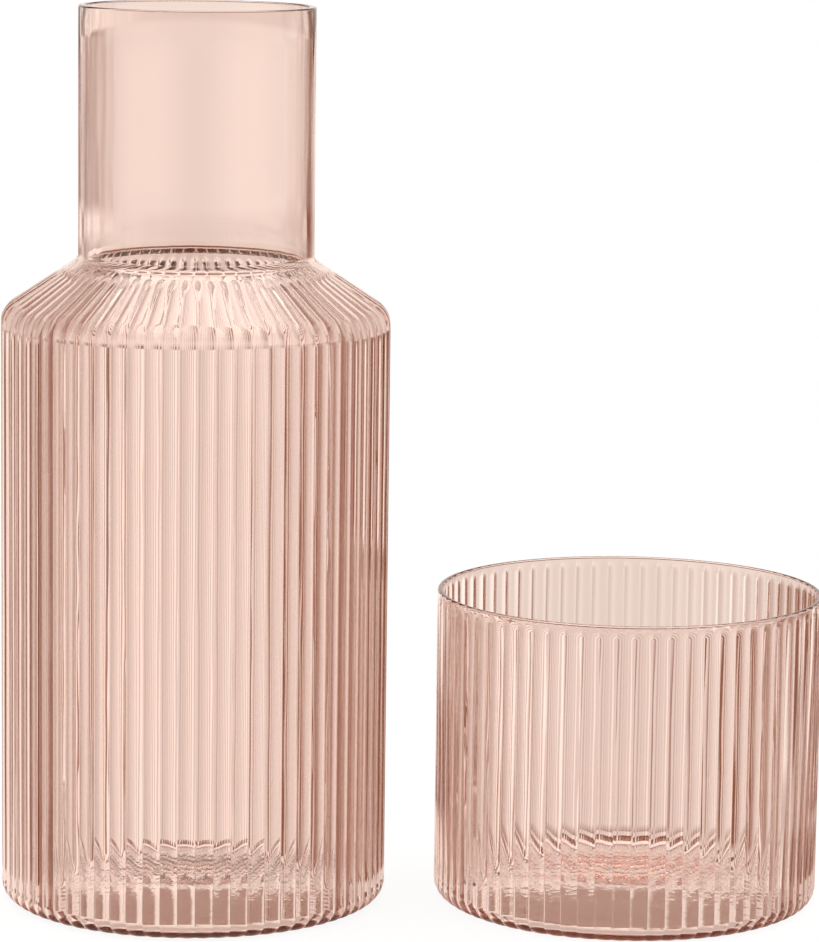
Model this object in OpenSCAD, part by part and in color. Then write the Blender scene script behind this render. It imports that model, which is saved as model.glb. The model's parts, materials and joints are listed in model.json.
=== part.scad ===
// Bedside carafe and its tumbler in mould-blown glass with reeded walls, side by side.
// Millimetres, +Z up. The origin is the centre of the carafe's foot on the table,
// and the tumbler stands on the +X side of the carafe.
// Turned over, the tumbler caps the carafe: its lip comes down on the bend of the
// shoulder, and its floor stays just clear of the neck's rim.

/* [Carafe] */
// Height of the carafe, from the table to the rim of the neck
carafe_h = 220; // [205:0.5:240]
// Width of the body over the crests of its reeds
body_d = 95; // [88:0.5:105]
// Height where the line of the wall meets the line of the shoulder
body_h = 146.3; // [120:0.1:155]
// Rise of the shoulder, from that height to the root of the neck
shoulder_h = 12.4; // [8:0.1:18]
// Radius of the bend between wall and shoulder, on the crests
shoulder_bend_r = 6; // [4.5:0.5:9]
// Width of the plain neck
neck_d = 57.5; // [50:0.5:64]
// Radius of the hollow corner where the neck stands on the shoulder
neck_root_r = 1.6; // [0.5:0.1:2]
// Radius of the edge inside, where the bore opens into the body
bore_root_r = 1.2; // [0.5:0.1:3]

/* [Tumbler] */
// Width of the tumbler over the crests of its reeds
tumbler_d = 95; // [88:0.5:105]
// Gap left between the neck's rim and the tumbler's floor when it caps the carafe
cap_gap = 2.1; // [0:0.1:5]
// Height of the plain lip above the reeds
lip_h = 1; // [0.8:0.1:6]
// How far the plain lip lies inside the crests of the reeds
lip_inset = 0.05; // [0:0.05:0.8]

/* [Glass] */
// Glass left under the grooves of the carafe's body
body_wall = 2.3; // [1.4:0.1:3]
// Thickness of the neck, and of the shoulder where the neck stands on it
neck_wall = 1.8; // [1.4:0.1:2.6]
// Glass left under the grooves of the tumbler, at its floor
tumbler_wall = 1.9; // [1:0.1:2.4]
// Thickness of the tumbler's lip, where the glass is thinnest
lip_wall = 1.3; // [1:0.1:2]
// Thickness of both floors, outside the hollow under the foot
floor_t = 2.2; // [1.6:0.1:7]
// Radius of the rounded corner round both feet, on the crests
foot_corner_r = 4.2; // [3:0.1:6]
// Radius of the rounded corner inside both floors
floor_corner_r = 5; // [3:0.5:8]
// Radius of the fire-polished edges of both rims
rim_round = 0.5; // [0.2:0.1:0.6]

/* [Reeds] */
// Number of reeds round each piece
reed_count = 70; // [60:1:80]
// Height of a reed's crest over its grooves on the carafe
carafe_reed_depth = 0.5; // [0.3:0.1:1.2]
// The same on the tumbler, whose thinner glass took the mould less sharply
tumbler_reed_depth = 0.4; // [0.2:0.1:1.2]
// Share of a rounded groove in the reed's section, from sharp to a full wave
groove_round_share = 0.8; // [0:0.1:1]
// Bare stretch of shoulder between the neck and the ends of the reeds
reed_end_gap = 2.6; // [2.2:0.1:5]
// Length over which the reeds die out on the shoulder
shoulder_fade = 2; // [1:0.5:6]
// The same below the tumbler's lip
lip_fade = 2.5; // [1:0.5:6]

/* [Foot] */
// Radius of the shallow hollow under each foot
punt_r = 36; // [25:1:38]
// Height of that hollow
punt_h = 0.8; // [0.4:0.1:1.6]
// Radius of the dimple in the middle of the hollow
dimple_r = 12; // [8:1:20]
// Extra height of the dimple
dimple_h = 0.4; // [0.3:0.1:1]

/* [Layout] */
// Clear distance between the two pieces on the table
stand_gap = 12.4; // [2:0.1:60]
// How far the tumbler stands behind the carafe's middle, towards +Y
stand_back = 2.8; // [-20:0.1:20]
// Turn of the carafe's first groove from +X, in degrees
carafe_turn = 0.95; // [0:0.05:6]
// Turn of the tumbler's first groove from +X, in degrees
tumbler_turn = 1.35; // [0:0.05:6]

/* [Hidden] */

// Colour of the thin tinted glass against white
glass_tint = [0.94, 0.82, 0.77, 0.6];

// Facets: points on one reed, and steps of the rounded corners
reed_facets = 4;
corner_steps = 4;
bend_steps = 4;
arc_steps = 8;
rim_steps = 5;
punt_steps = 6;
ring_points = reed_count * reed_facets;
$fn = ring_points;

// Overrun of every cut past the face that it opens
overrun = 2;
// The reeds reach their full depth this far up the foot's corner, in degrees from below
foot_fade_angle = 45;
// Share of that depth at even steps along the stretch where the reeds die out
fade_shares = [1, 0.6, 0];
fade_steps = len(fade_shares) - 1;

body_r = body_d / 2;
neck_r = neck_d / 2;
tumbler_r = tumbler_d / 2;

// Carafe: glass from the crests of the reeds to the inside, and the two inner radii
body_glass = body_wall + carafe_reed_depth;
cavity_r = body_r - body_glass;
bore_r = neck_r - neck_wall;

// Shoulder: the angle of its outward normal above the horizontal
shoulder_tilt = atan2(body_r - neck_r, shoulder_h);
// Centre of the bend between wall and shoulder, which the outside and the inside share
bend_axis_r = body_r - shoulder_bend_r;
bend_axis_z = body_h - shoulder_bend_r * tan(shoulder_tilt / 2);
// The shoulder's glass thins to the neck's, and its inside turns into the bore round an edge
bore_root_z = shoulder_z(bore_r) - neck_wall / sin(shoulder_tilt) + bore_root_r * tan(shoulder_tilt / 2);
// The neck's hollow corner stops short of the shoulder's own slope and dives under it
neck_root_share = 0.75;
neck_root_tilt = neck_root_share * shoulder_tilt;
neck_root_z = body_h + shoulder_h + neck_root_r * tan(shoulder_tilt / 2);

// Tumbler: its lip is a plain ring, and its height lets it cap the neck from the shoulder
tumbler_cavity_r = tumbler_r - tumbler_reed_depth - tumbler_wall;
lip_r = tumbler_r - lip_inset;
lip_bore_r = lip_r - lip_wall;
tumbler_h = carafe_h + cap_gap + floor_t - crest_z(lip_bore_r);
// The reeded skin ends this far inside the ring of the lip
lip_seat = 0.4;
lip_z = tumbler_h - lip_h;
tumbler_x = body_r + stand_gap + tumbler_r;

// Points on an arc round a centre, from one angle to another
function arc(centre_r, centre_z, radius, from, to, steps) =
    [for (i = [0 : steps])
        let(a = from + (to - from) * i / steps)
        [centre_r + radius * cos(a), centre_z + radius * sin(a)]];

// Height of the shoulder's outer line at a radius
function shoulder_z(r) = body_h + (body_r - r) * shoulder_h / (body_r - neck_r);

// Height of the reeds' crests at a radius, on the shoulder's slope or on its bend
function crest_z(r) =
    let(out = max(0, r - bend_axis_r))
    out < shoulder_bend_r * cos(shoulder_tilt)
        ? shoulder_z(r)
        : bend_axis_z + sqrt(max(0, pow(shoulder_bend_r, 2) - pow(out, 2)));

// How deep the reed's section lies below its crest, as a share of its depth.
// The place is a share of one reed, from groove to groove.
function dip_share(place_share) =
    let(u = 2 * place_share - 1)
    (1 - groove_round_share) * u * u + groove_round_share * (1 - cos(180 * u)) / 2;

// A station is one ring of the reeded skin: the crest's radius and height, the tilt of its
// outward normal, and the share of the full depth that the reeds have there
function corner_stations(outer_r) =
    [for (i = [0 : corner_steps])
        let(tilt = -90 + 90 * i / corner_steps)
        [outer_r - foot_corner_r + foot_corner_r * cos(tilt),
         foot_corner_r + foot_corner_r * sin(tilt),
         tilt,
         min(1, (tilt + 90) / foot_fade_angle)]];

function bend_stations() =
    [for (i = [0 : bend_steps])
        let(tilt = shoulder_tilt * i / bend_steps)
        [bend_axis_r + shoulder_bend_r * cos(tilt), bend_axis_z + shoulder_bend_r * sin(tilt), tilt, 1]];

function shoulder_station(r, depth_share) = [r, shoulder_z(r), shoulder_tilt, depth_share];

// On the shoulder the reeds close up with the radius, die out and end short of the neck
carafe_stations = concat(
    corner_stations(body_r),
    bend_stations(),
    [for (i = [0 : fade_steps])
        shoulder_station(neck_r + reed_end_gap + shoulder_fade * (1 - i / fade_steps), fade_shares[i])],
    [shoulder_station(neck_r - neck_wall / 2, 0)]);

// On the tumbler they die out under the lip, and the skin ends inside the lip's ring
tumbler_stations = concat(
    corner_stations(tumbler_r),
    [for (i = [0 : fade_steps])
        let(way_share = i / fade_steps)
        [tumbler_r - lip_inset / 2 * way_share, lip_z - lip_fade * (1 - way_share), 0, fade_shares[i]]],
    [[lip_r - lip_seat, lip_z + lip_seat, 0, 0]]);

// A point of the skin: the crest moved inwards along the normal, less so where the reeds
// are closer together, so that a reed keeps its section as it narrows
function skin_point(station, i, outer_r, depth) =
    let(dip = depth * station[3] * station[0] / outer_r * dip_share((i % reed_facets) / reed_facets),
        r = station[0] - dip * cos(station[2]),
        a = 360 * i / ring_points)
    [r * cos(a), r * sin(a), station[1] - dip * sin(station[2])];

// Closed solid inside one reeded skin, lofted from ring to ring
module reeded_solid(stations, outer_r, depth) {
    last_ring = (len(stations) - 1) * ring_points;
    points = [for (station = stations, i = [0 : ring_points - 1]) skin_point(station, i, outer_r, depth)];
    foot = [for (i = [0 : ring_points - 1]) i];
    top = [for (i = [ring_points - 1 : -1 : 0]) last_ring + i];
    sides = [for (ring = [0 : ring_points : last_ring - ring_points], i = [0 : ring_points - 1])
        let(a = ring + i,
            b = ring + (i + 1) % ring_points)
        each [[a, a + ring_points, b + ring_points], [a, b + ring_points, b]]];
    polyhedron(points, concat([foot], sides, [top]));
}

// Plain neck with its polished rim, solid until the inside is cut
module neck_solid() {
    root = arc(neck_r + neck_root_r, neck_root_z, neck_root_r, 180 + neck_root_tilt, 180, arc_steps);
    dive = root[0] + neck_root_r * [sin(neck_root_tilt), -cos(neck_root_tilt)];
    rotate_extrude()
        polygon(concat(
            [[0, dive[1]], dive],
            root,
            arc(neck_r - rim_round, carafe_h - rim_round, rim_round, 0, 90, rim_steps),
            [[0, carafe_h]]));
}

// Inside of the carafe: floor, wall, shoulder, and the bore of the neck up to its open rim
module carafe_cavity() {
    rotate_extrude()
        polygon(concat(
            [[0, floor_t]],
            arc(cavity_r - floor_corner_r, floor_t + floor_corner_r, floor_corner_r, -90, 0, arc_steps),
            arc(bend_axis_r, bend_axis_z, shoulder_bend_r - body_glass, 0, shoulder_tilt, arc_steps),
            arc(bore_r + bore_root_r, bore_root_z, bore_root_r, 180 + shoulder_tilt, 180, arc_steps),
            arc(bore_r + rim_round, carafe_h - rim_round, rim_round, 180, 90, rim_steps),
            [[bore_r + rim_round, carafe_h + overrun], [0, carafe_h + overrun]]));
}

// Plain lip of the tumbler with its polished edge, solid until the inside is cut
module lip_solid() {
    rotate_extrude()
        polygon(concat(
            [[0, lip_z], [lip_r, lip_z]],
            arc(lip_r - rim_round, tumbler_h - rim_round, rim_round, 0, 90, rim_steps),
            [[0, tumbler_h]]));
}

// Inside of the tumbler: the wall thins evenly from the floor to the lip
module tumbler_cavity() {
    corner_axis_r = tumbler_cavity_r - floor_corner_r;
    rotate_extrude()
        polygon(concat(
            [[0, floor_t]],
            arc(corner_axis_r, floor_t + floor_corner_r, floor_corner_r, -90, 0, arc_steps),
            arc(lip_bore_r + rim_round, tumbler_h - rim_round, rim_round, 180, 90, rim_steps),
            [[lip_bore_r + rim_round, tumbler_h + overrun], [0, tumbler_h + overrun]]));
}

// Height of the hollow under a foot at a radius
function punt_z(r) =
    punt_h * (1 - pow(r / punt_r, 2)) + (r < dimple_r ? dimple_h * (1 - pow(r / dimple_r, 2)) : 0);

// Hollow pushed up under a foot, which leaves a flat ring to stand on
module punt() {
    rotate_extrude()
        polygon(concat(
            [[0, -overrun], [punt_r, -overrun]],
            [for (i = [0 : punt_steps])
                let(r = punt_r + (dimple_r - punt_r) * i / punt_steps)
                [r, punt_z(r)]],
            [for (i = [punt_steps - 1 : -1 : 0])
                let(r = dimple_r * i / punt_steps)
                [r, punt_z(r)]]));
}

module carafe() {
    color(glass_tint)
        rotate([0, 0, carafe_turn])
            difference() {
                union() {
                    reeded_solid(carafe_stations, body_r, carafe_reed_depth);
                    neck_solid();
                }
                carafe_cavity();
                punt();
            }
}

module tumbler() {
    color(glass_tint)
        translate([tumbler_x, stand_back, 0])
            rotate([0, 0, tumbler_turn])
                difference() {
                    union() {
                        reeded_solid(tumbler_stations, tumbler_r, tumbler_reed_depth);
                        lip_solid();
                    }
                    tumbler_cavity();
                    punt();
                }
}

carafe();
tumbler();
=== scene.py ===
# %% [markdown]
# # A reeded carafe and its tumbler in rose glass
# The set is two loose pieces of blown glass: a carafe with a plain neck and a reeded body, and a
# tumbler of the same width that stands beside it. This lesson dresses the measured frame, which
# gives the places and the heights, with two glass skins, a clear rose glass and soft studio light.
# The frame comes first.

# %% Load the measured frame
import json
import math
from collections import Counter, namedtuple

import bpy
from mathutils import Matrix, Vector

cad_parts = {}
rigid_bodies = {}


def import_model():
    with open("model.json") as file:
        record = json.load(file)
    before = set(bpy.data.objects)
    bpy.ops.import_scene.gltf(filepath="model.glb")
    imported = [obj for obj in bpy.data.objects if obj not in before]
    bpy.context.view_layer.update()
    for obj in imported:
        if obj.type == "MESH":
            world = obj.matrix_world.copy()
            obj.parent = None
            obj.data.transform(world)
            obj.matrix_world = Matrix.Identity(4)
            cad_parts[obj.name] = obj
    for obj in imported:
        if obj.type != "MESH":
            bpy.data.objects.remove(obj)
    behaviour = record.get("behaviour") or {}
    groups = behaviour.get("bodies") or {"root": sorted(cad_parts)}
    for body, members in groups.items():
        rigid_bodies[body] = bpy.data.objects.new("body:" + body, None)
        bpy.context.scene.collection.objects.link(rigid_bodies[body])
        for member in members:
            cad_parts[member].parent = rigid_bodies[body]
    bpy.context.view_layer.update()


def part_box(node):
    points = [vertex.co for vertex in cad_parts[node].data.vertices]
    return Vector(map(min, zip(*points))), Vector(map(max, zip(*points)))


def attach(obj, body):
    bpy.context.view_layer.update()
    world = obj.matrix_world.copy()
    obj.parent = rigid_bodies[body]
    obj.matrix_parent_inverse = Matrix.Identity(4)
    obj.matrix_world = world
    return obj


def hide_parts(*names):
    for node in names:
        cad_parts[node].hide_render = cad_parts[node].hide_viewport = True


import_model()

MM = 0.001


def in_mm(corners):
    """Corners in metres as rounded millimetres, for printing."""
    return [[round(c / MM, 1) for c in corner] for corner in corners]


# %% [markdown]
# ## The camera
# A shape is easier to judge through the right lens. The photograph was taken from a metre away,
# a little above the rim, with a long lens that looks down by nine degrees. Fitting a camera to
# the outlines of both pieces gave the numbers below. The small roll is real: the picture leans.

# %% Place the camera
camera_place = Vector((52.54, -1019.94, 269.55)) * MM
camera_pitch = 9.06   # degrees below the horizon
camera_roll = 0.745   # degrees
camera_lens = 160.83  # mm, on the usual 36 mm sensor
nearest_seen = 0.05   # metres

camera = bpy.data.objects.new("camera", bpy.data.cameras.new("camera"))
bpy.context.scene.collection.objects.link(camera)
camera.data.lens = camera_lens
camera.data.clip_start = nearest_seen
camera.matrix_world = (
    Matrix.Translation(camera_place)
    @ Matrix.Rotation(math.radians(90 - camera_pitch), 4, "X")
    @ Matrix.Rotation(math.radians(camera_roll), 4, "Z")
)
bpy.context.scene.camera = camera
print("camera looks down by", camera_pitch, "degrees through a", camera_lens, "mm lens")

# %% [markdown]
# ## A glass is one closed skin
# Light bends where it enters and leaves glass, so a vessel must be modelled as the whole wall:
# outside, rim, inside and floor in one closed skin. Both pieces are round, so each skin is one
# line, its profile, spun about the axis. The profile could be a curve, but here it is a chain
# of stations, because every station also says how deep the mould's reeds are pressed there.

# %% One station of a profile
# radius and height are in mm, and tilt is how far the vessel's outward normal points up, in degrees.
# reeds is the share of the reeds' depth, and blown is the share of the waves that breath leaves.
Station = namedtuple("Station", "radius height tilt reeds blown", defaults=(0.0, 0.0, 0.0))
print("a station holds", ", ".join(Station._fields))


# %% Chains of stations
def arc(centre, bend, start, end, steps, reeds=0.0, blown=0.0, hollow=False):
    """Stations along an arc, by the tilt of the normal. A hollow corner's normal points to its centre."""
    side = -bend if hollow else bend
    chain = []
    for i in range(steps + 1):
        tilt = start + (end - start) * i / steps
        out = centre[0] + side * math.cos(math.radians(tilt))
        up = centre[1] + side * math.sin(math.radians(tilt))
        chain.append(Station(out, up, tilt, reeds(tilt) if callable(reeds) else reeds, blown))
    return chain


def line(start, end, rings, reeds=0.0, blown=0.0):
    """Stations strictly between two points of a wall, so that it joins arcs without doubling a ring."""
    chain = []
    for i in range(1, rings + 1):
        way = i / (rings + 1)
        out = start[0] + (end[0] - start[0]) * way
        up = start[1] + (end[1] - start[1]) * way
        chain.append(Station(out, up, 0.0, reeds(way) if callable(reeds) else reeds, blown))
    return chain


print("a corner in 8 steps has", len(arc((0, 0), 1, 0, 90, 8)), "stations")

# %% [markdown]
# ## The foot, the floor and the rim
# Both pieces were blown into moulds with the same foot, and both rims were cut and then melted
# round in a flame, so these parts of the profile are shared. Under the foot is a shallow hollow
# with a finisher's dimple, which keeps the glass from rocking. Tight corners get many stations,
# because a coarse corner with smooth shading draws dark specks that real glass doesn't have.

# %% Sizes that both pieces share, in mm
body_radius = 47.5
reed_count = 70
foot_bend = 4.2
foot_run = 45         # degrees of the foot's corner in which the reeds reach their depth
floor_thick = 2.2
floor_bend = 2.0
floor_breath = 0.5    # share of the breath's waves that the flat floor keeps
inside_follow = 0.12  # share of the reeds' depth that the inside follows
punt_radius = 36.0
punt_rise = 0.8
dimple_radius = 12.0
dimple_rise = 0.4
rim_bend = 0.5

# steps of each kind of rounded corner
foot_steps = 12
corner_steps = 7
rim_steps = 8
bend_steps = 8
root_steps = 9
print("one reed is", round(math.tau * body_radius / reed_count, 2), "mm wide")


# %% Draw the foot
def dome(radius, width, rise):
    """Height of a shallow dome at a radius, with nothing beyond its width."""
    return rise * max(0, 1 - (radius / width) ** 2)


def underside():
    """From the middle of the hollow out to the ring that the glass stands on."""
    rings = [0, 4, 8, 10.5, dimple_radius, 14, 20, 28, punt_radius]
    heights = [dome(r, punt_radius, punt_rise) + dome(r, dimple_radius, dimple_rise) for r in rings]
    return [Station(r, height, -90) for r, height in zip(rings, heights)]


def foot():
    """The rounded edge of the foot, up which the reeds reach their depth."""
    return arc((body_radius - foot_bend, foot_bend), foot_bend, -90, 0, foot_steps,
               reeds=lambda tilt: min(1, (tilt + 90) / foot_run))


print("the hollow under the foot is", dome(0, punt_radius, punt_rise), "mm deep, and its dimple",
      dome(0, dimple_radius, dimple_rise), "mm more")


# %% Draw the floor and the rim
def inner_floor(wall):
    """The inside from the wall down round the corner and in to the middle of the floor."""
    corner = arc((wall - floor_bend, floor_thick + floor_bend), floor_bend, 0, -90, corner_steps,
                 reeds=lambda tilt: inside_follow * (1 + tilt / 90), blown=1)
    rings = [Station(r, floor_thick, -90, 0, floor_breath) for r in (34, 26, 18, 12, 8, 4)]
    return corner + rings + [Station(0, floor_thick, -90)]


def rim(outside, bore, top):
    """A cut edge melted round, as an arc on the outside and one on the inside."""
    return (arc((outside - rim_bend, top - rim_bend), rim_bend, 0, 90, rim_steps)
            + arc((bore + rim_bend, top - rim_bend), rim_bend, 90, 180, rim_steps))


print("the floor is", floor_thick, "mm thick, and the rims are rounded by", rim_bend, "mm")

# %% [markdown]
# ## Where the reeds end
# A mould's reeds don't stop at a line: they die out as the glass leaves the mould. A cosine takes
# them from full depth to nothing without a kink, in the same six rings on both pieces.

# %% Let the reeds die out
fade_ways = [i / 5 for i in range(6)]


def ease(way):
    """Share of the reeds' depth on the way through the stretch where they die out."""
    return 0.5 + 0.5 * math.cos(math.pi * way)


print("the reeds keep", [round(ease(way), 2) for way in fade_ways], "of their depth")

# %% [markdown]
# ## The carafe's profile
# A real one is blown into a reeded mould up to the neck. The neck is then drawn out plain, and
# its rim is cut and fire polished. So the outside has reeds from the foot over the shoulder's
# bend, which fade just short of the neck, and the inside is left to the breath. A straight wall
# needs few rings outside, and more inside, where the breath makes waves in it.

# %% Sizes of the carafe, in mm
carafe_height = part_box("carafe")[1][2] / MM
body_height = 146.3   # of the shoulder's bend, before it is rounded
shoulder_rise = 12.4
shoulder_bend = 6.0
shoulder_ring = 40.0  # radius of one more ring, between the bend and the reeds' tips
body_glass = 2.8
neck_radius = 28.75
neck_glass = 1.8
neck_root = 2.0
inner_root = 4.0
inner_bend = 6.0
reed_gap = 2.6        # from the neck to the reeds' tips
reed_fade = 3.2

slope = math.degrees(math.atan2(body_radius - neck_radius, shoulder_rise))
reach = math.tan(math.radians(slope / 2))  # of a rounded corner along its sides, for a bend of 1
inner_wall = body_radius - body_glass
bore = neck_radius - neck_glass
print("the shoulder's normal tilts up by", round(slope, 1), "degrees, and the bore is", 2 * bore, "mm wide")


# %% Find the carafe's corners
def shoulder_height(radius):
    """Height of the shoulder's outer line at a radius."""
    return body_height + (body_radius - radius) * shoulder_rise / (body_radius - neck_radius)


def on_shoulder(radius, reeds):
    """A ring on the shoulder."""
    return Station(radius, shoulder_height(radius), slope, reeds)


bend_centre = (body_radius - shoulder_bend, body_height - shoulder_bend * reach)
inner_corner = bend_centre[1] + (shoulder_bend - body_glass) * reach
inner_centre = (inner_wall - inner_bend, inner_corner - inner_bend * reach)
root_height = body_height + shoulder_rise + neck_root * reach
glass_above = neck_glass / math.sin(math.radians(slope))
bore_root_height = shoulder_height(bore) - glass_above + inner_root * reach
print("the neck begins", round(root_height, 1), "mm up, and its bore", round(bore_root_height, 1), "mm up")

# %% Draw the carafe's profile
carafe_outside = (
    underside() + foot()
    + line((body_radius, foot_bend), (body_radius, bend_centre[1]), 2, reeds=1)
    + arc(bend_centre, shoulder_bend, 0, slope, bend_steps, reeds=1)
    + [on_shoulder(shoulder_ring, 1)]
    + [on_shoulder(neck_radius + reed_gap + reed_fade * (1 - way), ease(way)) for way in fade_ways]
    + arc((neck_radius + neck_root, root_height), neck_root, slope, 0, root_steps, hollow=True)
    + line((neck_radius, root_height), (neck_radius, carafe_height - rim_bend), 3)
)
carafe_inside = (
    line((bore, carafe_height - rim_bend), (bore, bore_root_height), 7, blown=1)
    + arc((bore + inner_root, bore_root_height), inner_root, 0, slope, root_steps, blown=1, hollow=True)
    + arc(inner_centre, inner_bend, slope, 0, bend_steps, reeds=inside_follow, blown=1)
    + line((inner_wall, inner_centre[1]), (inner_wall, floor_thick + floor_bend), 18,
           reeds=inside_follow, blown=1)
    + inner_floor(inner_wall)
)
carafe_profile = carafe_outside + rim(neck_radius, bore, carafe_height) + carafe_inside
print("carafe profile:", len(carafe_profile), "stations")

# %% [markdown]
# ## The tumbler's profile
# The tumbler has the same foot and the same reeds as the body of the carafe. Its wall thins evenly
# towards the lip. The reeds die out over the last three millimetres, where the glass was cut and
# its edge fire polished, so that the drinker's lip meets a plain edge.

# %% Draw the tumbler's profile
tumbler_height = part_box("tumbler")[1][2] / MM
lip_radius = 47.45
lip_glass = 1.3
lip_height = 0.7
lip_fade = 2.5
cup_radius = 45.2   # of the inside, where the wall meets the floor's corner
follow_in = 0.25    # share of the way down the inside in which it comes to follow the reeds

lip_start = tumbler_height - lip_height
lip_bore = lip_radius - lip_glass
tumbler_profile = (
    underside() + foot()
    + line((body_radius, foot_bend), (body_radius, lip_start - lip_fade), 2, reeds=1)
    + [Station(body_radius - (body_radius - lip_radius) * way, lip_start - lip_fade * (1 - way), 0, ease(way))
       for way in fade_ways]
    + rim(lip_radius, lip_bore, tumbler_height)
    + line((lip_bore, tumbler_height - rim_bend), (cup_radius, floor_thick + floor_bend), 12,
           reeds=lambda way: inside_follow * min(1, way / follow_in), blown=1)
    + inner_floor(cup_radius)
)
print("tumbler profile:", len(tumbler_profile), "stations")


# %% [markdown]
# ## A helper for nodes
# The skins, the glass and the studio are all made of nodes. One small function adds a node, sets
# it up and fills its inputs, so that the cells below read as a list of what each node is for.

# %% Add one node
def add(tree, kind, *inputs, **settings):
    """Adds a node of a kind with its settings. Inputs come in order, or as one dict by name: a node
    or an output is linked, and a plain value is set. A kind in capitals is a step of arithmetic."""
    if kind.isupper():
        settings["operation"] = kind
        kind = "ShaderNodeMath"
    node = tree.nodes.new(kind)
    for name, value in settings.items():
        setattr(node, name, value)
    by_name = inputs and isinstance(inputs[0], dict)
    for key, value in (inputs[0] if by_name else dict(enumerate(inputs))).items():
        if isinstance(value, bpy.types.Node):
            value = value.outputs[0]
        if isinstance(value, bpy.types.NodeSocket):
            tree.links.new(value, node.inputs[key])
        else:
            node.inputs[key].default_value = value
    return node


print("one function adds every node")

# %% [markdown]
# ## Spin the profile and press the reeds
# Seventy reeds follow one rule, so Geometry Nodes make them. The tree lays out a flat grid, one
# column for each step round and one row for each station, and then folds it into the vessel:
# every point takes its radius and height from its station and its angle from its column. The
# named inputs are what a glassmaker would change, with the carafe's values to begin with.

# %% Name the inputs of the reeded skin
skin_inputs = {
    "Profile": ("Geometry", None),
    "Reed Count": ("Int", reed_count),
    "Steps per Reed": ("Int", 11),
    "Reed Depth": ("Float", 0.55 * MM),
    "Reed Turn": ("Float", math.radians(0.95)),  # from the right-hand side to the first groove
    "Full Radius": ("Float", body_radius * MM),
    "Narrowing": ("Float", 0.6),                 # power of the radius that the depth follows
    "Crest Flatness": ("Float", 2.0),
    "Groove Roundness": ("Float", 0.15),
    "Groove Crowding": ("Float", 0.6),
    "Breath Waves": ("Float", 0.03 * MM),
    "Wave Width": ("Float", 14 * MM),
    "Wave Length": ("Float", 57 * MM),
    "Wave Seed": ("Float", 3.0),
    "Stand": ("Vector", (0.0, 0.0, 0.0)),
    "Glass": ("Material", None),
}
skin = bpy.data.node_groups.new("reeded skin", "GeometryNodeTree")
for name, (kind, value) in skin_inputs.items():
    socket = skin.interface.new_socket(name, in_out="INPUT", socket_type="NodeSocket" + kind)
    if value is not None:
        socket.default_value = value
skin.interface.new_socket("Skin", in_out="OUTPUT", socket_type="NodeSocketGeometry")
given = add(skin, "NodeGroupInput").outputs
print("the reeded skin has", len(skin_inputs), "inputs")

# %% [markdown]
# ### The grid
# The grid has one column more than there are steps, because its last column comes to lie on the
# first one. Its points are numbered column by column, so a point's number gives both.

# %% Lay out the grid
rows = add(skin, "GeometryNodeAttributeDomainSize", {"Geometry": given["Profile"]}).outputs["Point Count"]
columns = add(skin, "MULTIPLY", given["Reed Count"], given["Steps per Reed"])
grid = add(skin, "GeometryNodeMeshGrid", {"Vertices X": add(skin, "ADD", columns, 1), "Vertices Y": rows})

index = add(skin, "GeometryNodeInputIndex")
column = add(skin, "FLOOR", add(skin, "DIVIDE", add(skin, "ADD", index, 0.5), rows))
row = add(skin, "SUBTRACT", index, add(skin, "MULTIPLY", column, rows))
print("grid:", len(skin.nodes), "nodes")


# %% Read the station of each row
def at_station(field, kind="FLOAT"):
    """What the profile holds in this point's row."""
    return add(skin, "GeometryNodeSampleIndex", {"Geometry": given["Profile"], "Value": field, "Index": row},
               data_type=kind, domain="POINT")


place = at_station(add(skin, "GeometryNodeInputPosition"), "FLOAT_VECTOR")
radius, _, height = add(skin, "ShaderNodeSeparateXYZ", place).outputs
tilt, reeds, blown = [
    at_station(add(skin, "GeometryNodeInputNamedAttribute", {"Name": name}, data_type="FLOAT"))
    for name in ("tilt", "reeds", "blown")]
print("with the stations:", len(skin.nodes), "nodes")

# %% [markdown]
# ### The angle of each column
# A reed is a crest between two grooves, and a groove turns sharply. A sine moves the columns
# closer together there, so that few points still give a crisp line.

# %% Turn columns into angles
turns = add(skin, "DIVIDE", column, given["Steps per Reed"])
nudge = 0.0001  # keeps a whole number of reeds from being rounded down
reed = add(skin, "FLOOR", add(skin, "ADD", turns, nudge))
even = add(skin, "SUBTRACT", turns, reed)
swing = add(skin, "DIVIDE", add(skin, "SINE", add(skin, "MULTIPLY", even, math.tau)), math.tau)
across = add(skin, "SUBTRACT", even, add(skin, "MULTIPLY", swing, given["Groove Crowding"]))

share = add(skin, "DIVIDE", add(skin, "ADD", reed, across), given["Reed Count"])
angle = add(skin, "ADD", given["Reed Turn"], add(skin, "MULTIPLY", share, math.tau))
print("with the angles:", len(skin.nodes), "nodes")

# %% [markdown]
# ### The dip of a reed
# The mould presses every reed into a shallow arch. Its section is a parabola, and a cosine takes
# a small share of it, which rounds the grooves off. The reeds get narrower up the shoulder, so
# their depth shrinks with the radius too, but a little less, as it does on the real one.

# %% Press the reeds
side = add(skin, "SUBTRACT", add(skin, "MULTIPLY", across, 2), 1)
arch = add(skin, "POWER", add(skin, "ABSOLUTE", side), given["Crest Flatness"])
sharp = add(skin, "MULTIPLY", arch, add(skin, "SUBTRACT", 1, given["Groove Roundness"]))
cosine = add(skin, "COSINE", add(skin, "MULTIPLY", side, math.pi))
round_arch = add(skin, "MULTIPLY", add(skin, "SUBTRACT", 1, cosine), 0.5)
soft = add(skin, "MULTIPLY", round_arch, given["Groove Roundness"])

narrow = add(skin, "POWER", add(skin, "DIVIDE", radius, given["Full Radius"]), given["Narrowing"])
depth = add(skin, "MULTIPLY", add(skin, "MULTIPLY", given["Reed Depth"], reeds), narrow)
dip = add(skin, "MULTIPLY", depth, add(skin, "ADD", sharp, soft))
print("with the dip:", len(skin.nodes), "nodes")

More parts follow.
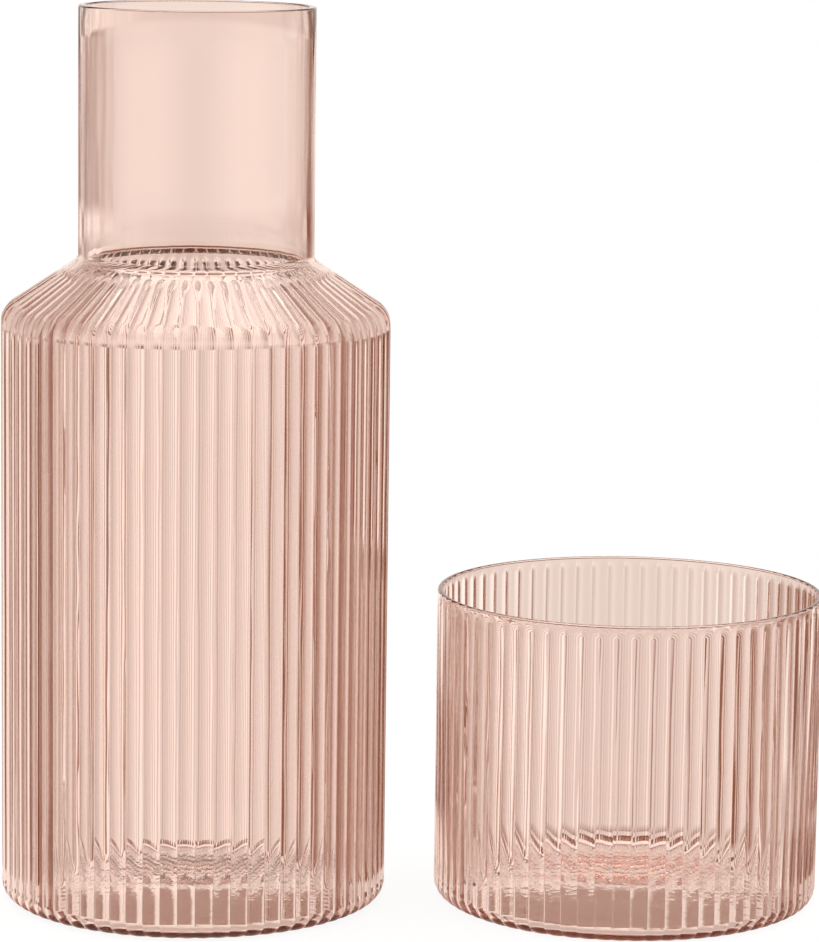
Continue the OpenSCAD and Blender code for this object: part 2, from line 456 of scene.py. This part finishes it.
# %% [markdown]
# ### The waves of the breath
# No mould touches the inside, so the breath leaves it a little uneven. A noise with a fixed seed
# gives waves of 14 by 57 mm, longer up the wall than round it, because the glass is drawn upwards.
# They are only some hundredths of a millimetre high, but glass shows them in how it bends light.

# %% Breathe waves into the inside
waves_round = add(skin, "DIVIDE", given["Full Radius"], given["Wave Width"])
spot = add(skin, "ShaderNodeCombineXYZ",
           add(skin, "MULTIPLY", add(skin, "COSINE", angle), waves_round),
           add(skin, "MULTIPLY", add(skin, "SINE", angle), waves_round),
           add(skin, "DIVIDE", height, given["Wave Length"]))
noise = add(skin, "ShaderNodeTexNoise",
            {"Vector": spot, "W": given["Wave Seed"], "Scale": 1.0, "Detail": 1.0}, noise_dimensions="4D")
swell = add(skin, "MULTIPLY", add(skin, "SUBTRACT", noise, 0.5), blown)
wave = add(skin, "MULTIPLY", swell, given["Breath Waves"])
print("with the waves:", len(skin.nodes), "nodes")

# %% [markdown]
# ### Fold the grid
# Dip and wave move a point along the wall's own normal, so that a reed runs over the shoulder's
# bend without getting thinner. Merging then closes the seam and the two middles of the floor.

# %% Fold the grid into the vessel
move = add(skin, "ADD", dip, wave)
out = add(skin, "SUBTRACT", radius, add(skin, "MULTIPLY", move, add(skin, "COSINE", tilt)))
up = add(skin, "SUBTRACT", height, add(skin, "MULTIPLY", move, add(skin, "SINE", tilt)))
point = add(skin, "ShaderNodeCombineXYZ",
            add(skin, "MULTIPLY", out, add(skin, "COSINE", angle)),
            add(skin, "MULTIPLY", out, add(skin, "SINE", angle)), up)
stood = add(skin, "ShaderNodeVectorMath", point, given["Stand"], operation="ADD")
folded = add(skin, "GeometryNodeSetPosition", {"Geometry": grid, "Position": stood})

same_place = 0.001 * MM
closed = add(skin, "GeometryNodeMergeByDistance", {"Geometry": folded, "Distance": same_place})
smooth = add(skin, "GeometryNodeSetShadeSmooth", {"Geometry": closed})
real = add(skin, "GeometryNodeRealizeInstances", {"Geometry": smooth})
glazed = add(skin, "GeometryNodeSetMaterial", {"Geometry": real, "Material": given["Glass"]})
add(skin, "NodeGroupOutput", {"Skin": glazed})
print("reeded skin:", len(skin.nodes), "nodes")


# %% [markdown]
# ## From tree to piece
# A profile becomes a mesh of loose points that carry their numbers as attributes, and the tree
# folds it into a vessel. The result is then turned into a plain mesh, because a finished piece
# should not depend on its modifier any more. It must be closed, or light would leak through.

# %% Fold a profile into a piece of glass
def loose_points(name, profile):
    """A mesh with one loose point for each station, which carries the station's numbers."""
    mesh = bpy.data.meshes.new(name)
    mesh.from_pydata([(s.radius * MM, 0, s.height * MM) for s in profile], [], [])
    numbers = {
        "tilt": [math.radians(s.tilt) for s in profile],
        "reeds": [s.reeds for s in profile],
        "blown": [s.blown for s in profile],
    }
    for label, values in numbers.items():
        mesh.attributes.new(label, "FLOAT", "POINT").data.foreach_set("value", values)
    return mesh


def fold(name, profile, chosen):
    """The piece that the reeded skin makes of a profile, as a plain mesh. chosen sets inputs by name."""
    draft = bpy.data.objects.new(name + "_draft", loose_points(name + "_profile", profile))
    bpy.context.scene.collection.objects.link(draft)
    modifier = draft.modifiers.new("skin", "NODES")
    modifier.node_group = skin
    identifiers = {s.name: s.identifier for s in skin.interface.items_tree if s.in_out == "INPUT"}
    for label, value in chosen.items():
        modifier[identifiers[label]] = value
    graph = bpy.context.evaluated_depsgraph_get()
    mesh = bpy.data.meshes.new_from_object(draft.evaluated_get(graph), depsgraph=graph)
    mesh.name = name
    bpy.data.objects.remove(draft)
    piece = bpy.data.objects.new(name, mesh)
    bpy.context.scene.collection.objects.link(piece)
    return piece


print("a piece is folded from its profile and", len(skin_inputs) - 1, "inputs")


# %% Measure a finished piece
def measure(piece):
    """Prints the triangles of a piece, and its edges that don't have exactly two faces."""
    polygons = piece.data.polygons
    triangles = sum(len(polygon.vertices) - 2 for polygon in polygons)
    sides = Counter(edge for polygon in polygons for edge in polygon.edge_keys)
    open_edges = sum(1 for count in sides.values() if count != 2)
    print(piece.name + ":", triangles, "triangles,", open_edges, "open edges")


print("a closed skin has no open edges")

# %% [markdown]
# ## The rose glass
# Clear soda-lime glass, coloured in the melt, blown and fire polished. It looks pale where light
# crosses two thin walls and goes to brown where it runs a long way inside the glass, at the foot
# and beside the grooves. Paint on the surface can't do that, so the colour is in the volume: it
# takes a share of the light for each millimetre of the way. The surface itself is clear and very
# smooth, with an index of refraction of 1.5 and faint cords, the streaks that blowing leaves.

# %% Turn colours into light
WHITE = (1, 1, 1, 1)


def to_linear(hex_colour):
    """An sRGB hex colour as linear numbers, which is what shaders add and multiply."""
    shares = [int(hex_colour[i:i + 2], 16) / 255 for i in (1, 3, 5)]
    return tuple(c / 12.92 if c <= 0.04045 else ((c + 0.055) / 1.055) ** 2.4 for c in shares)


def melt(shown, way):
    """Absorption per metre for a colour that white light takes after a way through the glass."""
    return [-math.log(c) / (way * MM) for c in to_linear(shown)]


lost = melt("#E2CBC3", 20)
print("rose glass absorbs", [round(k, 1) for k in lost], "per metre of red, green and blue")

# %% Mix the rose glass
cord_width = 7.14           # mm, coarser than most real cords, so that they show
cord_stretch = 0.12         # they run up the wall, about eight times as long as they are wide
density = 1.04 * max(lost)  # a little over the strongest loss, so that no colour share is below zero

glass = bpy.data.materials.new("rose_soda_lime_glass")
glass.use_nodes = True
mix = glass.node_tree
mix.nodes.clear()
volume = add(mix, "ShaderNodeVolumeAbsorption",
             {"Color": (*(1 - k / density for k in lost), 1), "Density": density})
drawn = add(mix, "ShaderNodeMapping", {
    "Vector": add(mix, "ShaderNodeTexCoord").outputs["Object"], "Scale": (1, 1, cord_stretch)})
cords = add(mix, "ShaderNodeTexNoise", {"Vector": drawn, "Scale": 1 / (cord_width * MM), "Detail": 2})
bump = add(mix, "ShaderNodeBump", {"Height": cords, "Strength": 0.1, "Distance": MM})
surface = add(mix, "ShaderNodeBsdfPrincipled", {
    "Normal": bump, "Base Color": (*to_linear("#FFFBF9"), 1), "Transmission Weight": 1, "IOR": 1.5,
    "Roughness": 0})
add(mix, "ShaderNodeOutputMaterial", {"Surface": surface, "Volume": volume})
print(glass.name, "has", len(mix.nodes), "nodes")

# %% [markdown]
# ## The two pieces
# Each skin stands exactly where its node stands in the frame, rides on that node's body and takes
# its place. The tumbler gets more steps for each reed, because it has fewer stations to pay for.

# %% Make the carafe
carafe = fold("carafe_glass", carafe_profile, {"Glass": glass})
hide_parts("carafe")
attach(carafe, "carafe")
measure(carafe)

# %% Make the tumbler
low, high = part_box("tumbler")
stand = ((low[0] + high[0]) / 2, (low[1] + high[1]) / 2, 0.0)
tumbler = fold("tumbler_glass", tumbler_profile, {
    "Glass": glass, "Stand": stand, "Steps per Reed": 14, "Reed Depth": 0.42 * MM,
    "Reed Turn": math.radians(1.35), "Wave Seed": 8.0})
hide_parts("tumbler")
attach(tumbler, "tumbler")
measure(tumbler)
print("tumbler stands at", in_mm([stand]))

# %% [markdown]
# ## Light for glass
# Glass has no colour of its own to light: it shows its surroundings, bent. A photographer sets a
# bright backdrop behind it and white cards round it, and the gaps between the cards draw the dark
# lines of grooves and edges. The world below is that studio. The gaps show brown card instead of
# black, which keeps the dark lines as warm as the glass.

# %% The colour of a card
darkest = 0.05
brown = 0.22  # share of red that the darkest card still gives


def card(level):
    """The colour of a card: brown at the darkest, white at level 1, and brighter white above it."""
    bright = max(level, 1)
    level = min(max(level, darkest), 1)
    white = (level - darkest) / (1 - darkest)
    return (bright * (brown + (1 - brown) * white), bright * level, bright * white, 1)


for label, level in (("a gap", 0), ("a dull card", 0.5), ("a white card", 1)):
    print(label, "gives", [round(c, 2) for c in card(level)[:3]])

# %% [markdown]
# ### Directions from the glass
# A world is painted by direction. Two angles make that easy to think about: turn goes round the
# glass, from 0 at the camera to 90 at the right of the picture and 180 at the backdrop, and rise
# goes from -90 straight down to 90 straight up.

# %% Start the studio
world = bpy.data.worlds.new("studio")
bpy.context.scene.world = world
world.use_nodes = True
studio = world.node_tree
studio.nodes.clear()

way = add(studio, "ShaderNodeSeparateXYZ", add(studio, "ShaderNodeTexCoord").outputs["Generated"]).outputs
turn = add(studio, "DEGREES", add(studio, "ARCTAN2", way["X"], add(studio, "MULTIPLY", way["Y"], -1)))
rise = add(studio, "DEGREES", add(studio, "ARCSINE", way["Z"]))
print("turn and rise take", len(studio.nodes), "nodes")

# %% [markdown]
# ### Two ways to lay cards side by side
# Round the glass, a ColorRamp is a row of cards with soft joints. From one band of cards to the
# next one up, a mix with a short ramp is enough.

# %% Lay cards side by side
def row_of_cards(stops):
    """Cards round the glass, from stops of (turn, level)."""
    first, last = stops[0][0], stops[-1][0]
    share = add(studio, "ShaderNodeMapRange", {"Value": turn, "From Min": first, "From Max": last})
    cards = add(studio, "ShaderNodeValToRGB", {"Fac": share})
    elements = cards.color_ramp.elements
    while len(elements) < len(stops):
        elements.new(0.5)
    for element, (place, level) in zip(elements, stops):
        element.position = (place - first) / (last - first)
        element.color = card(level)
    return cards


def meet(angle, edge, joint, below, above):
    """Cards below an angle and others above it, with a joint of some degrees between them."""
    share = add(studio, "ShaderNodeMapRange",
                {"Value": angle, "From Min": edge - joint / 2, "From Max": edge + joint / 2})
    return add(studio, "ShaderNodeMixRGB", {"Fac": share, "Color1": below, "Color2": above})


print("a row of cards takes 2 nodes, and so does a joint between two bands")

# %% [markdown]
# ### The cards that the body and the neck show
# Reeds bend light so strongly that they gather it from all round, while the plain neck shows what
# stands behind it and bends it only near its edges. So the two have rings of their own: narrow
# cards and gaps beside the backdrop, then large cards at the sides, and a plain level towards the
# camera. Lighting the glass from one direction at a time showed which places matter. A ColorRamp
# holds 32 stops at most, so a ring is a left and a right half that meet in front.

# %% Set the cards of the body
body_left = row_of_cards([
    (-180, 0.8), (-175, 0.8), (-168, 1.25), (-157, 1.2), (-153, 0), (-148, 0.4), (-143, 1.25), (-132, 1.1),
    (-128, 0), (-110, 0), (-93, 1.25), (-50, 1.25), (-22, 0.5), (0, 0.5)])
body_right = row_of_cards([
    (0, 0.5), (38, 0.5), (65, 0.8), (92, 0.8), (102, 0), (112, 1.1), (118, 0.9), (122, 0), (132, 0.1),
    (137, 1.2), (143, 1.2), (148, 0), (158, 0), (163, 0.5), (173, 0.9), (180, 0.8)])
body_cards = meet(turn, 0, 1, body_left, body_right)
print("body: two rows of cards, with", len(studio.nodes), "nodes so far")

# %% Set the cards of the neck
neck_left = row_of_cards([
    (-180, 0.95), (-172, 0.9), (-168, 0.5), (-158, 0), (-153, 0.9), (-147, 0.8), (-138, 0.3), (-133, 0.4),
    (-128, 1.25), (-122, 1.25), (-113, 0.75), (-108, 1.15), (-103, 0.25), (-98, 0.5), (-83, 0.6),
    (-68, 1.25), (-38, 1.25), (-8, 0.5), (0, 0.5)])
neck_right = row_of_cards([
    (0, 0.5), (8, 0.5), (38, 1.25), (82, 1.2), (98, 0.9), (107, 0), (122, 0), (127, 0.6), (132, 0),
    (138, 0.4), (148, 0.3), (153, 0), (163, 0.65), (172, 1.05), (180, 0.95)])
neck_cards = meet(turn, 0, 1, neck_left, neck_right)
print("neck: two rows of cards, with", len(studio.nodes), "nodes so far")

# %% [markdown]
# ### Above and below
# The camera looks down a little, so both pieces show what stands below the horizon: the body the
# lower band, and the neck the one above it. Under them lies the table, with a strip in shade at
# the backdrop's foot. Above them the wall, the ceiling and a soft box light the rims and shoulder.

# %% Set the table, the wall and the ceiling
table = row_of_cards([(-180, 1.1), (-135, 1.25), (-75, 0.6), (150, 0.6), (180, 1.1)])
shaded = row_of_cards([
    (-180, 0), (-169, 0), (-166, 1.1), (-135, 1.1), (-75, 0.6), (120, 0.6), (166, 1), (169, 0), (180, 0)])
wall = row_of_cards([
    (-180, 1.15), (-165, 1.1), (-120, 0.6), (60, 0.8), (130, 0.6), (160, 1.1), (180, 1.15)])
ceiling = row_of_cards([(-180, 0.3), (-110, 0.3), (60, 0.65), (110, 0.65), (180, 0.3)])
floor_level = 0.6
soft_box_level = 2.6
print("table, shade, wall and ceiling, with", len(studio.nodes), "nodes so far")

# %% Stack the bands
# each band has the rise at which it begins and the width of its joint with the one below, in degrees
bands = [
    (-40, 3, table),
    (-25.5, 1.5, shaded),
    (-14.9, 0.8, body_cards),
    (-6.3, 0.8, neck_cards),
    (-2, 2, wall),
    (20, 3, ceiling),
    (50, 3, card(soft_box_level)),
]
stacked = card(floor_level)
for edge, joint, band in bands:
    stacked = meet(rise, edge, joint, stacked, band)
print("the studio has", len(bands) + 1, "bands from the floor to the soft box")

# %% [markdown]
# ### What the camera sees past the glass
# The backdrop is plain white for the camera and for the paper that it lights, while the glass
# shows the cards. They are cream, and a little rosier on the camera's side, so that reflections
# don't lie on the rose glass like a grey veil.

# %% Hang the backdrop
front = add(studio, "ShaderNodeMapRange", {"Value": way["Y"], "From Min": 0.1, "From Max": -0.1})
tint = add(studio, "ShaderNodeMixRGB", {
    "Fac": front, "Color1": (*to_linear("#FFF0E7"), 1), "Color2": (*to_linear("#FFE6DA"), 1)})
cream = add(studio, "ShaderNodeMixRGB", {"Fac": 1, "Color1": stacked, "Color2": tint}, blend_type="MULTIPLY")
lit_cards = add(studio, "ShaderNodeBackground", {"Color": cream, "Strength": 1})
backdrop = add(studio, "ShaderNodeBackground", {"Color": WHITE, "Strength": 1})
ray = add(studio, "ShaderNodeLightPath").outputs
plain = add(studio, "MAXIMUM", ray["Is Camera Ray"], ray["Is Diffuse Ray"])
seen = add(studio, "ShaderNodeMixShader", plain, lit_cards, backdrop)
add(studio, "ShaderNodeOutputWorld", {"Surface": seen})
print("studio:", len(studio.nodes), "nodes")

# %% [markdown]
# ## The table
# A small round of white paper under the glass catches a faint shadow. Most of its white is its
# own, so that it melts into the backdrop, while the rest is plain diffuse paper that keeps the
# shadow. The glass doesn't show this paper, because the studio has a table of its own for it.

# %% Mix the white paper
own_white = 0.85   # share of the paper's white that is its own
paper_glow = 1.05  # a little over white, so that the paper is white wherever no shadow falls

paper = bpy.data.materials.new("white_paper")
paper.use_nodes = True
sheet = paper.node_tree
sheet.nodes.clear()
ray = add(sheet, "ShaderNodeLightPath").outputs
through = add(sheet, "MAXIMUM", ray["Is Glossy Ray"], ray["Is Transmission Ray"])
seen = add(sheet, "MAXIMUM", ray["Is Camera Ray"], through)
matt = add(sheet, "ShaderNodeBsdfDiffuse", {"Color": (*to_linear("#F4F4F4"), 1)})
glow = add(sheet, "ShaderNodeEmission", {"Color": WHITE, "Strength": paper_glow})
mixed = add(sheet, "ShaderNodeMixShader", add(sheet, "MULTIPLY", seen, own_white), matt, glow)
add(sheet, "ShaderNodeOutputMaterial", {"Surface": mixed})
print(paper.name, "gives", own_white, "of its white itself")

# %% Lay the paper
paper_middle = 54    # mm along X, between the two pieces
paper_radius = 240
paper_height = -0.2  # just under the feet
paper_steps = 96

ring = []
for i in range(paper_steps):
    a = math.tau * i / paper_steps
    out = paper_radius * Vector((math.cos(a), math.sin(a), 0))
    ring.append((Vector((paper_middle, 0, paper_height)) + out) * MM)
mesh = bpy.data.meshes.new("paper_round")
mesh.from_pydata(ring, [], [list(range(paper_steps))])
mesh.materials.append(paper)
paper_round = bpy.data.objects.new("paper_round", mesh)
bpy.context.scene.collection.objects.link(paper_round)
paper_round.visible_glossy = False
paper_round.visible_transmission = False
print("the paper is", 2 * paper_radius, "mm across")

# %% [markdown]
# ## The view
# Colours are shown as they are, without a film curve. Light that runs inside a reeded wall meets
# its surfaces many times, so it may bounce far more often than in a plain scene.

# %% Set the view and the bounces
most_bounces = 64
scene = bpy.context.scene
scene.view_settings.view_transform = "Standard"
scene.cycles.max_bounces = most_bounces
scene.cycles.transmission_bounces = most_bounces
scene.cycles.glossy_bounces = most_bounces
print("light may bounce", most_bounces, "times")
